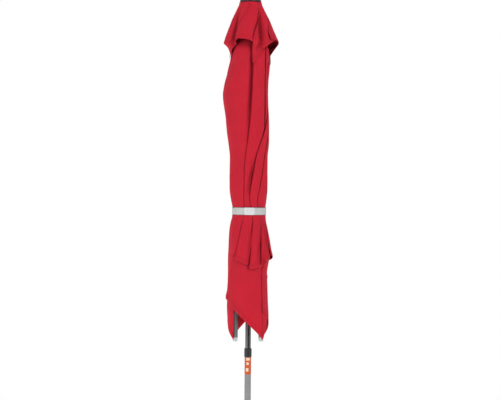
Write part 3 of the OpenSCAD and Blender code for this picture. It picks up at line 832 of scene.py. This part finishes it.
def label_look(color):
    """A printed film: plain pale panels on orange, with no lettering."""
    look = Look("printed film", color, 0.45, Coat_Weight=0.1)
    where = look.place("Object")
    place = look.parts(where)
    low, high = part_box("height_label")
    middle = (low[2] + high[2]) / 2
    pale = None
    for across, up, half_w, half_h in LABEL_PATCHES:
        in_x = look.math("COMPARE", place["X"], across * MM, half_w * MM)
        in_z = look.math("COMPARE", place["Z"], middle + up * MM, half_h * MM)
        patch = look.math("MULTIPLY", in_x, in_z)
        pale = patch if pale is None else look.math("MAXIMUM", pale, patch)
    front = look.math("LESS_THAN", place["Y"], 0.0)
    look.paint(look.mix(look.math("MULTIPLY", pale, front), color, LABEL_PALE))
    look.bump(look.noise(where, 900), 0.02 * MM)
    return look


def make_looks():
    """The material in each slot."""
    looks = {
        "stand_shell": speckled("stand shell", (0.035, 0.035, 0.038), 0.45, scale=260, depth=0.25),
        "ballast": speckled("cast concrete", (0.5, 0.5, 0.48), 0.9, scale=120, depth=0.6),
        "black_rubber": speckled("rubber", (0.02, 0.02, 0.02), 0.85, scale=500, depth=0.08),
        "dark_steel": speckled("powder coat", (0.03, 0.03, 0.033), 0.42, 0.2, scale=900, depth=0.06),
        "bright_steel": speckled("zinc plate", (0.6, 0.6, 0.6), 0.3, 1.0, scale=300, depth=0.02),
        "black_plastic": speckled("black moulding", (0.008, 0.008, 0.009), 0.5, scale=700, depth=0.05),
        "collar_plastic": speckled("collar moulding", (0.015, 0.016, 0.016), 0.38, scale=700, depth=0.04),
        "grey_tube": speckled("grey paint", (0.24, 0.24, 0.245), 0.5, 0.25, scale=900, depth=0.03,
                              vary=0.06),
        "polished_tube": speckled("drawn tube", (0.2, 0.2, 0.2), 0.16, 1.0, scale=500, depth=0.006,
                                  vary=0.04, stretch=(1, 1, 0.02)),
        "cap_plastic": speckled("cap moulding", (0.025, 0.025, 0.027), 0.42, scale=600, depth=0.05),
        "button_steel": speckled("button steel", (0.6, 0.6, 0.6), 0.22, 1.0, scale=400, depth=0.01),
        "rib_steel": speckled("rib coat", (0.15, 0.17, 0.17), 0.38, 0.35, scale=800, depth=0.03, vary=0.08),
        "grey_cap": speckled("end cap moulding", (0.5, 0.53, 0.54), 0.4, scale=600, depth=0.04, vary=0.05),
        "orange_label": label_look((0.55, 0.075, 0.001)),
        "strap_webbing": webbing_look((0.56, 0.57, 0.56)),
        "white_badge": speckled("badge", (0.6, 0.6, 0.61), 0.3, scale=700, depth=0.02, vary=0.03),
        "red_cloth": cloth_look((0.52, 0.011, 0.028)),
    }
    return {slot: look.material for slot, look in looks.items()}


looks = make_looks()
for subpart in frame["record"]["subparts"]:
    for material_slot in frame["nodes"][subpart["node"]].material_slots:
        material_slot.material = looks[subpart["material_slot"]]

panels = []
for sector in SECTORS:
    panels += make_panel(sector, looks["red_cloth"])
    make_hood(sector, looks["red_cloth"])
make_strap(panels, looks["strap_webbing"], looks["white_badge"])
make_button_coil(looks["bright_steel"])

# ---- Camera, floor and light ----

EYE, CAMERA_ROLL = Vector((0.0035, -4.8, 1.570)), 0.44 * DEG
LENS, SENSOR = 88.56, 36                 # in mm
FLOOR_SIZE, FLOOR_GLOW = 9, 0.68
LAMP_AIM, LAMP_SIZE = Vector((0, 0, 2.0)), 0.8
LAMPS = (("key", (2.4, -3.6, 4.0), 120), ("fill", (-2.4, -3.8, 2.9), 40))     # place, and power in watts

# Light levels round the horizon, by share of a turn: the back is at 0 and 1, the left side at 0.25,
# the front at 0.5 and the right side at 0.75
WORLD_LEVELS = ((0.0, 0.35), (0.25, 0.65), (0.36, 0.7), (0.44, 0.6), (0.462, 0.04), (0.58, 0.03),
                (0.63, 0.22), (0.75, 0.4), (1.0, 0.35))
WORLD_STRENGTH = 1.35


def make_camera():
    """A camera in front of the umbrella, looking level and rolled a little."""
    data = bpy.data.cameras.new("camera")
    data.lens, data.sensor_width = LENS, SENSOR
    camera = bpy.data.objects.new("camera", data)
    aimed = Matrix.Rotation(90 * DEG, 4, "X") @ Matrix.Rotation(CAMERA_ROLL, 4, "Z")
    camera.matrix_world = Matrix.Translation(EYE) @ aimed
    bpy.context.scene.collection.objects.link(camera)
    bpy.context.scene.camera = camera


def make_floor():
    """A white floor that glows a little, so that it stays as white as the background."""
    bpy.ops.mesh.primitive_plane_add(size=FLOOR_SIZE)
    floor = bpy.context.object
    floor.name = "floor"
    look = Look("floor", (0.9, 0.9, 0.9), 0.8)
    cloudy = look.noise(look.place("Object"), 3)
    look.paint(look.mix(cloudy, (0.88, 0.88, 0.88), (0.93, 0.93, 0.93)))
    look.shader.inputs["Emission Color"].default_value = (1, 1, 1, 1)
    look.shader.inputs["Emission Strength"].default_value = FLOOR_GLOW
    floor.data.materials.append(look.material)


def level_ramp(nodes, links):
    """The light level in each direction: by its azimuth only, from atan2(X, -Y)."""
    where, split = nodes.new("ShaderNodeTexCoord"), nodes.new("ShaderNodeSeparateXYZ")
    back, turn = nodes.new("ShaderNodeMath"), nodes.new("ShaderNodeMath")
    scaled, ramp = nodes.new("ShaderNodeMapRange"), nodes.new("ShaderNodeValToRGB")
    back.operation, turn.operation = "MULTIPLY", "ARCTAN2"
    back.inputs[1].default_value = -1
    for socket, number in zip(list(scaled.inputs)[1:5], (-math.pi, math.pi, 0, 1)):
        socket.default_value = number
    links.new(where.outputs["Generated"], split.inputs["Vector"])
    links.new(split.outputs["Y"], back.inputs[0])
    links.new(split.outputs["X"], turn.inputs[0])
    links.new(back.outputs["Value"], turn.inputs[1])
    links.new(turn.outputs["Value"], scaled.inputs["Value"])
    links.new(scaled.outputs["Result"], ramp.inputs["Fac"])
    while len(ramp.color_ramp.elements) < len(WORLD_LEVELS):
        ramp.color_ramp.elements.new(0.5)
    for element, (position, level) in zip(ramp.color_ramp.elements, WORLD_LEVELS):
        element.position = position
        element.color = (level, level, level, 1)
    return ramp.outputs["Color"]


def make_world():
    """Plain white to the camera; to the object, a room with a dark front and brighter sides."""
    world = bpy.data.worlds.new("studio")
    world.use_nodes = True
    nodes, links = world.node_tree.nodes, world.node_tree.links
    nodes.clear()
    out = nodes.new("ShaderNodeOutputWorld")
    seen, light = nodes.new("ShaderNodeBackground"), nodes.new("ShaderNodeBackground")
    path, either = nodes.new("ShaderNodeLightPath"), nodes.new("ShaderNodeMixShader")
    seen.inputs["Color"].default_value = (1, 1, 1, 1)
    light.inputs["Strength"].default_value = WORLD_STRENGTH
    links.new(level_ramp(nodes, links), light.inputs["Color"])
    links.new(path.outputs["Is Camera Ray"], either.inputs["Fac"])
    links.new(light.outputs["Background"], either.inputs[1])
    links.new(seen.outputs["Background"], either.inputs[2])
    links.new(either.outputs["Shader"], out.inputs["Surface"])
    bpy.context.scene.world = world


def make_lamp(name, at, power):
    """A square lamp that shines on the top of the umbrella."""
    data = bpy.data.lights.new(name, "AREA")
    data.size, data.energy = LAMP_SIZE, power
    lamp = bpy.data.objects.new(name, data)
    lamp.location = at
    lamp.rotation_euler = (LAMP_AIM - Vector(at)).to_track_quat("-Z", "Y").to_euler()
    bpy.context.scene.collection.objects.link(lamp)


make_camera()
make_floor()
make_world()
for name, at, power in LAMPS:
    make_lamp(name, at, power)
bpy.context.scene.view_settings.view_transform = "Standard"
